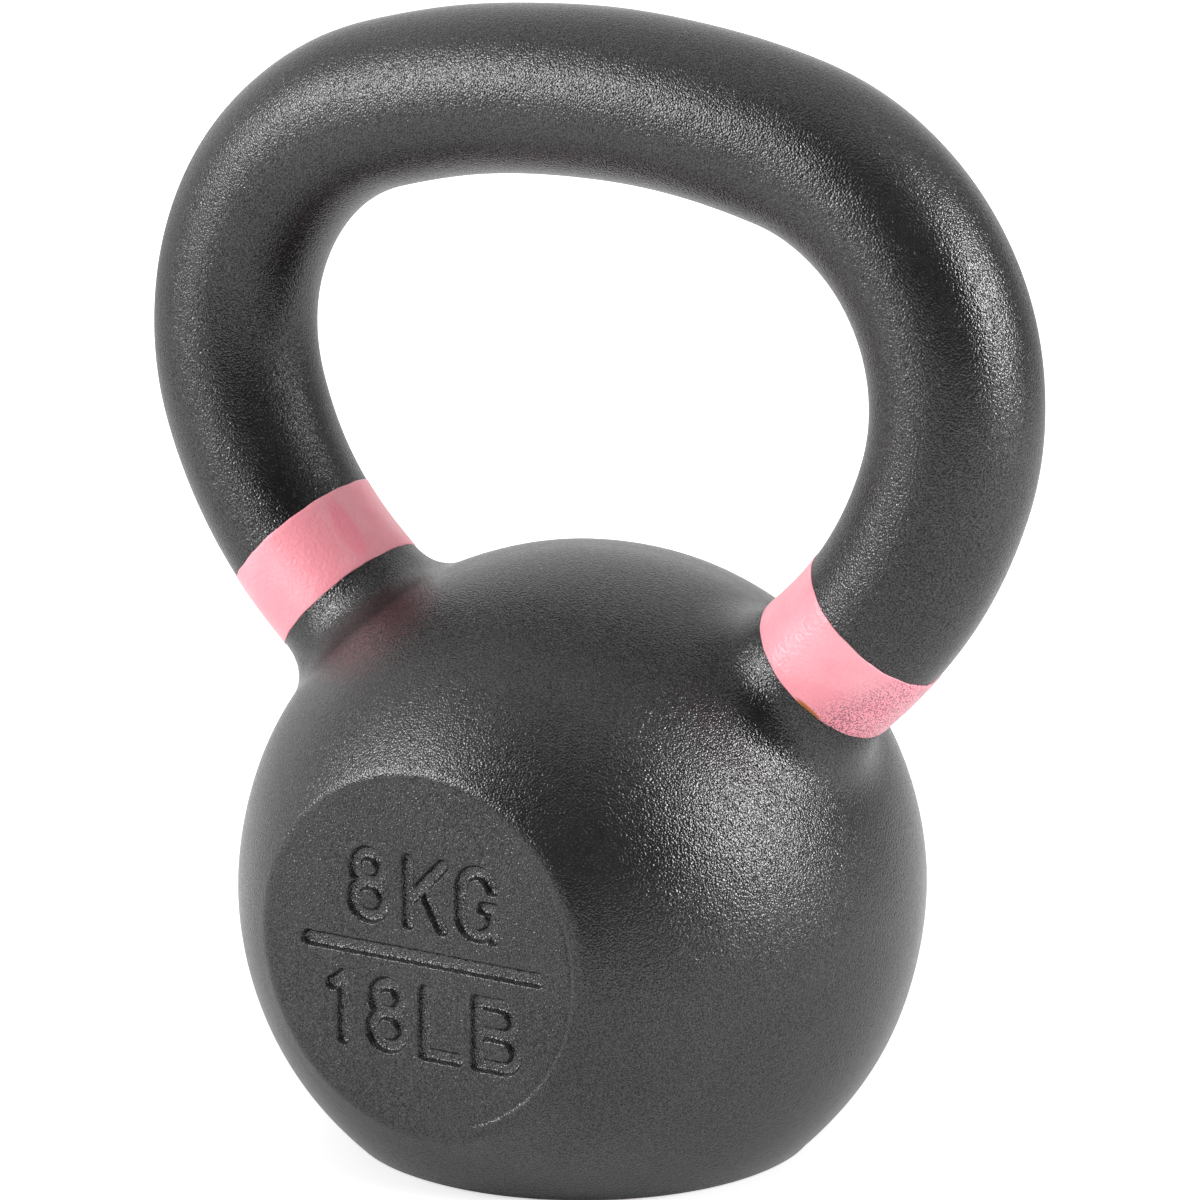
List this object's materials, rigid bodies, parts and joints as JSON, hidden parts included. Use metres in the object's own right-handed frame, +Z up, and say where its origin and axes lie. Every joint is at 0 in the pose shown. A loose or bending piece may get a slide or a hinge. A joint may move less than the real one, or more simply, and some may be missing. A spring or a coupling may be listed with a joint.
{
  "type": "kettlebell",
  "caption": "Cast iron kettlebell: a ball with flat discs and a flat base, one looped handle, a dark textured coat and coloured enamel bands on the horns.",
  "frame": {"origin": "centre of the flat base that the kettlebell stands on", "axes": "+Z up from the base to the grip, X along the grip from horn to horn, -Y out of the disc that carries the weight mark"},
  "size_m": [0.1784, 0.1048, 0.2031],
  "materials": {
    "bare_iron": "grey iron, sand cast, ground flat and bare at the base only",
    "powder_coat": "charcoal textured powder coat, fine pebble grain, low sheen",
    "band_enamel": "brushed pink enamel, half gloss, over the powder coat"
  },
  "bodies": {
    "root": {"iron_casting": "bare_iron", "powder_coat": "powder_coat", "left_band": "band_enamel", "right_band": "band_enamel"}
  },
  "joints": []
}
